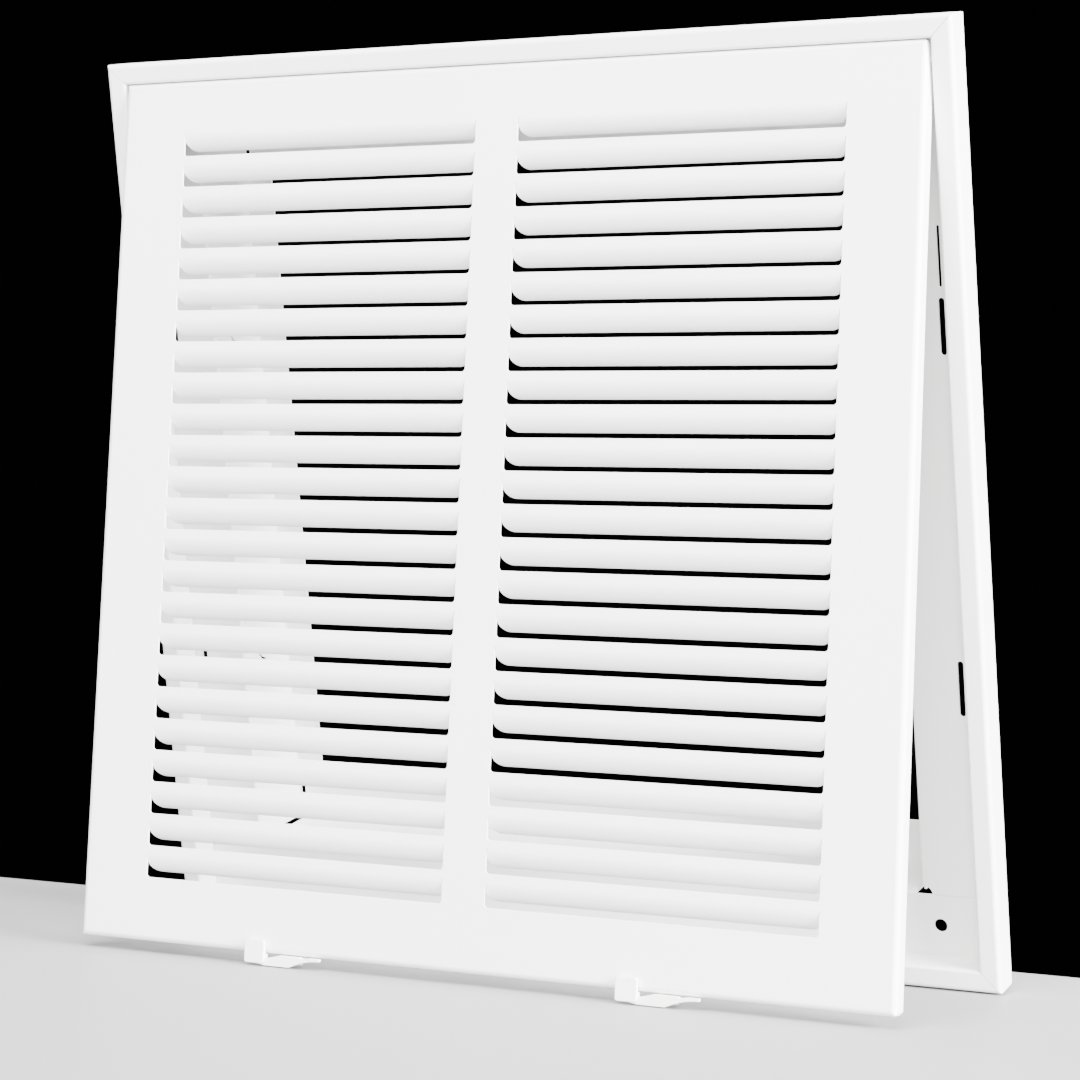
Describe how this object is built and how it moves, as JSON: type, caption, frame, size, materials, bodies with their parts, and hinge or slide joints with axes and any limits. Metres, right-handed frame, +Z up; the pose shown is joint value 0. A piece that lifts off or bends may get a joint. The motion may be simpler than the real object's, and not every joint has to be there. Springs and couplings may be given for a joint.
{
  "type": "return air filter grille",
  "caption": "Square white wall grille for a return air duct: a folded steel frame with a filter bay and a top-hinged louvred door held by sliding latches.",
  "frame": {"origin": "centre of the four screw holes, on the wall plane", "axes": "+X to the right seen from the room, +Y into the wall, +Z up, the louvred face looks along -Y"},
  "size_m": [0.368, 0.1374, 0.368],
  "materials": {
    "rail_coat": "white satin powder coat",
    "door_coat": "white satin powder coat",
    "pin_steel": "bright zinc plate",
    "latch_plastic": "white, fine satin"
  },
  "bodies": {
    "frame": {"frame_top_rail": "rail_coat", "frame_bottom_rail": "rail_coat", "frame_left_rail": "rail_coat", "frame_right_rail": "rail_coat", "hinge_pin_left": "pin_steel", "hinge_pin_right": "pin_steel"},
    "door": {"door_panel": "door_coat"},
    "latch_slide_left": {"latch_left": "latch_plastic"},
    "latch_slide_right": {"latch_right": "latch_plastic"}
  },
  "joints": [
    {"name": "door_swing", "type": "hinge", "parent": "frame", "child": "door", "pos_m": [0, -0.0098, 0.1676], "axis": [-1, 0, 0], "range_deg": [-14.5, 75.5]},
    {"name": "latch_left_slide", "type": "slide", "parent": "door", "child": "latch_slide_left", "axis": [1, 0, 0], "range_m": [0, 0.006]},
    {"name": "latch_right_slide", "type": "slide", "parent": "door", "child": "latch_slide_right", "axis": [1, 0, 0], "range_m": [0, 0.006]}
  ]
}
